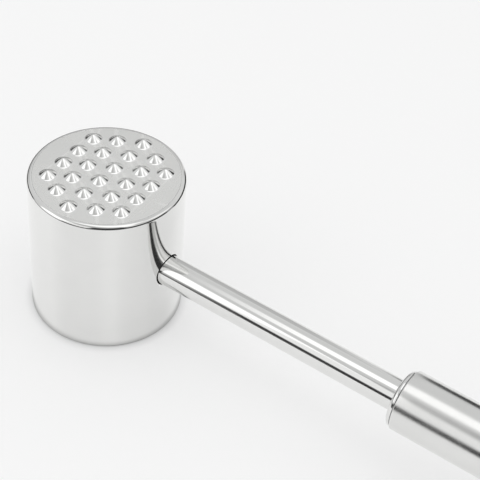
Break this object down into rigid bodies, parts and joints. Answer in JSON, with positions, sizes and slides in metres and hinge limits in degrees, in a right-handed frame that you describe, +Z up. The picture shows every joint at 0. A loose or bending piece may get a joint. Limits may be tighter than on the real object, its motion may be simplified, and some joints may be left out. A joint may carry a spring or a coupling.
{
  "type": "meat mallet",
  "caption": "Stainless steel meat mallet with a round head, a toothed face over a flat face, a slim neck rod and a round tube handle with a hanging loop.",
  "frame": {"origin": "centre of the flat lower striking face, on which the mallet stands", "axes": "+Z up the axis of the head, towards the toothed face; +X along the rod and the handle, away from the head"},
  "size_m": [0.2754, 0.05, 0.0539],
  "materials": {
    "polished_steel": "polished",
    "satin_face": "satin, with polished teeth",
    "brushed_tube": "satin, brushed round the tube",
    "plain_steel": "plain"
  },
  "bodies": {
    "root": {"head_body": "polished_steel", "toothed_disc": "satin_face", "rod_lock_screw": "plain_steel", "neck_rod": "polished_steel", "handle_front_cap": "polished_steel", "tang_washer": "plain_steel", "tang_nut": "plain_steel", "handle_tube": "brushed_tube", "handle_rear_cap": "polished_steel", "hanging_loop": "polished_steel"}
  },
  "joints": []
}
